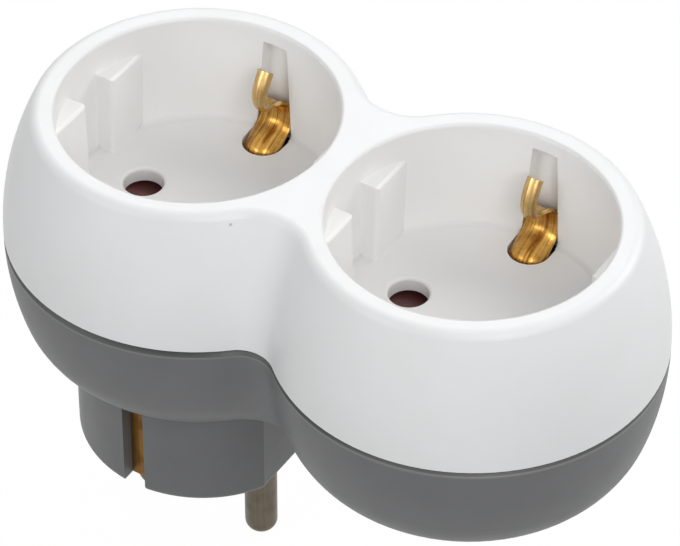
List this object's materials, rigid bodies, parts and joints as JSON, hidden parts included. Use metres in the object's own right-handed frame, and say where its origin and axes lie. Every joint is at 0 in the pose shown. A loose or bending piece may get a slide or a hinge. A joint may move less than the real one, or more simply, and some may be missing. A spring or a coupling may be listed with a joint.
{
  "type": "multi socket adapter",
  "caption": "Compact plug-in adapter that splits one earthed round-pin outlet into side-by-side recessed sockets, with a white top over a grey base.",
  "frame": {"origin": "middle of the plug's end face, between its two pins", "axes": "+Z out of the sockets, along the pins of a plug that goes in, +X from the socket over the plug to the second socket"},
  "size_m": [0.0986, 0.055, 0.0755],
  "materials": {
    "white_plastic": "fine satin white moulding",
    "grey_plastic": "fine matte mid grey moulding",
    "carrier_plastic": "plain natural moulding",
    "shutter_plastic": "dark maroon moulding",
    "nickel_plated_brass": "dull nickel plating",
    "brass": "bright stamped brass",
    "steel": "zinc plated"
  },
  "bodies": {
    "housing": {"upper_housing": "white_plastic", "lower_housing": "grey_plastic", "plug_pin_line": "nickel_plated_brass", "plug_pin_neutral": "nickel_plated_brass", "line_rail": "brass", "neutral_rail": "brass", "pin_contact_line_1": "brass", "pin_contact_neutral_1": "brass", "pin_contact_line_2": "brass", "pin_contact_neutral_2": "brass", "contact_rivets": "brass", "contact_carrier_1": "carrier_plastic", "contact_carrier_2": "carrier_plastic", "shutter_spring_1": "steel", "shutter_spring_2": "steel", "earth_bracket_1": "brass", "earth_bracket_2": "brass", "earth_strap": "brass", "plug_earth_strip_back": "brass", "plug_earth_strip_front": "brass", "earth_rivets": "brass", "housing_screws": "steel"},
    "shutter_1": {"shutter_1": "shutter_plastic"},
    "shutter_2": {"shutter_2": "shutter_plastic"}
  },
  "joints": [
    {"name": "shutter_1_turn", "type": "hinge", "parent": "housing", "child": "shutter_1", "pos_m": [0, 0, 0.0363], "axis": [0, 0, 1], "range_deg": [0, 42], "stiffness_Nm_per_rad": 0.01, "springref_deg": -20.05, "deforming": ["shutter_spring_1"]},
    {"name": "shutter_2_turn", "type": "hinge", "parent": "housing", "child": "shutter_2", "pos_m": [0.0436, 0, 0.0363], "axis": [0, 0, 1], "range_deg": [0, 42], "stiffness_Nm_per_rad": 0.01, "springref_deg": -20.05, "deforming": ["shutter_spring_2"]}
  ]
}
